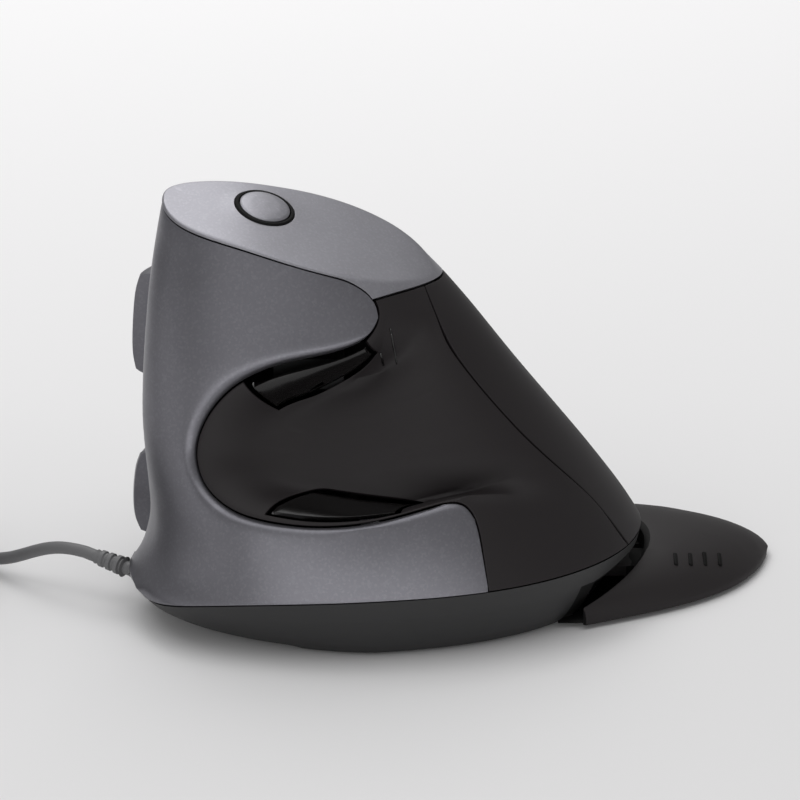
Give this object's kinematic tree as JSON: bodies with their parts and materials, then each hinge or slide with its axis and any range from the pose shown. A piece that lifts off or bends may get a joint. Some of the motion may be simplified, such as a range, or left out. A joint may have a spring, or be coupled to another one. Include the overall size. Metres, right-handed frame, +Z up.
{
  "type": "vertical ergonomic mouse",
  "caption": "Right-hand vertical mouse: handshake-angle body with a thumb bay, hinged main buttons, scroll wheel, cap button, sliding palm rest and a coiled cable with its plug.",
  "frame": {"origin": "on the mat under the middle of the sensor window, in the plane of the glide feet", "axes": "+X to the finger side, +Y to the nose where the cable leaves, +Z up from the mat"},
  "size_m": [0.0815, 0.2023, 0.0785],
  "materials": {
    "shell_paint": "satin metallic grey paint on moulded plastic",
    "cap_paint": "satin metallic grey paint on moulded plastic",
    "soft_panel": "soft-touch dark coating",
    "base_plastic": "matte moulded dark grey",
    "gloss_black": "polished black",
    "glide": "smooth low-friction sheet",
    "steel": "plated",
    "board_green": "solder mask",
    "clear_plastic": "clear moulding",
    "black_plastic": "moulded",
    "frame_plastic": "moulded",
    "white_plastic": "moulded",
    "red_plastic": "moulded",
    "tyre_rubber": "ribbed rubber",
    "cable_rubber": "smooth cable jacket"
  },
  "bodies": {
    "mouse": {"left_shell": "shell_paint", "top_cover": "cap_paint", "thumb_panel": "soft_panel", "palm_cover": "soft_panel", "wheel_panel": "shell_paint", "base": "base_plastic", "front_foot": "glide", "rear_foot": "glide", "sensor_foot": "glide", "base_screws": "steel", "main_board": "board_green", "board_screws": "steel", "sensor_lens": "clear_plastic", "optical_sensor": "black_plastic", "controller_chip": "black_plastic", "cable_header": "white_plastic", "finger_frame": "frame_plastic", "switch_board": "board_green", "left_click_switch": "black_plastic", "right_click_switch": "black_plastic", "middle_click_switch": "black_plastic", "thumb_frame": "frame_plastic", "thumb_board": "board_green", "forward_switch": "black_plastic", "back_switch": "black_plastic", "dpi_board": "board_green", "dpi_switch": "black_plastic", "dpi_ring_bezel": "gloss_black", "strain_relief": "cable_rubber", "cable": "cable_rubber", "cable_coil": "cable_rubber", "cable_tie": "cable_rubber", "usb_plug_grip": "cable_rubber", "usb_plug_shell": "steel", "usb_plug_tongue": "white_plastic"},
    "left_click": {"left_click_button": "shell_paint", "left_click_plunger": "red_plastic"},
    "right_click": {"right_click_button": "shell_paint", "right_click_plunger": "red_plastic"},
    "forward": {"forward_button": "gloss_black", "forward_plunger": "white_plastic"},
    "back": {"back_button": "gloss_black", "back_plunger": "white_plastic"},
    "dpi": {"dpi_button": "cap_paint", "dpi_plunger": "white_plastic"},
    "wheel_carrier": {"wheel_cradle": "frame_plastic", "wheel_encoder": "black_plastic", "middle_click_plunger": "white_plastic"},
    "wheel": {"scroll_wheel": "black_plastic", "wheel_tyre": "tyre_rubber", "wheel_axle": "steel"},
    "rest": {"palm_rest": "base_plastic", "palm_rest_foot": "glide"}
  },
  "joints": [
    {"name": "left_click_hinge", "type": "hinge", "parent": "mouse", "child": "left_click", "pos_m": [0.02023, 0.008, 0.03159], "axis": [-0.2016, 0, 0.9795], "range_deg": [0, 0.9], "stiffness_Nm_per_rad": 0.5, "springref_deg": -0.69},
    {"name": "right_click_hinge", "type": "hinge", "parent": "mouse", "child": "right_click", "pos_m": [0.02023, 0.008, 0.03159], "axis": [-0.2016, 0, 0.9795], "range_deg": [0, 0.9], "stiffness_Nm_per_rad": 0.5, "springref_deg": -0.69},
    {"name": "forward_press", "type": "slide", "parent": "mouse", "child": "forward", "axis": [1, 0, 0], "range_m": [0, 0.0004], "stiffness_N_per_m": 800, "springref_m": -0.0004},
    {"name": "back_press", "type": "slide", "parent": "mouse", "child": "back", "axis": [1, 0, 0], "range_m": [0, 0.0004], "stiffness_N_per_m": 800, "springref_m": -0.0004},
    {"name": "dpi_press", "type": "slide", "parent": "mouse", "child": "dpi", "axis": [0.2609, 0.2529, -0.9317], "range_m": [0, 0.0005], "stiffness_N_per_m": 800, "springref_m": -0.0004},
    {"name": "wheel_press", "type": "slide", "parent": "mouse", "child": "wheel_carrier", "axis": [-0.9795, 0, -0.2016], "range_m": [0, 0.0005], "stiffness_N_per_m": 800, "springref_m": -0.0004},
    {"name": "wheel_spin", "type": "hinge", "parent": "wheel_carrier", "child": "wheel", "pos_m": [0.01944, 0.025, 0.03143], "axis": [-0.2016, 0, 0.9795], "continuous": true},
    {"name": "palm_rest_slide", "type": "slide", "parent": "mouse", "child": "rest", "axis": [0, -1, 0], "range_m": [0, 0.012]}
  ]
}
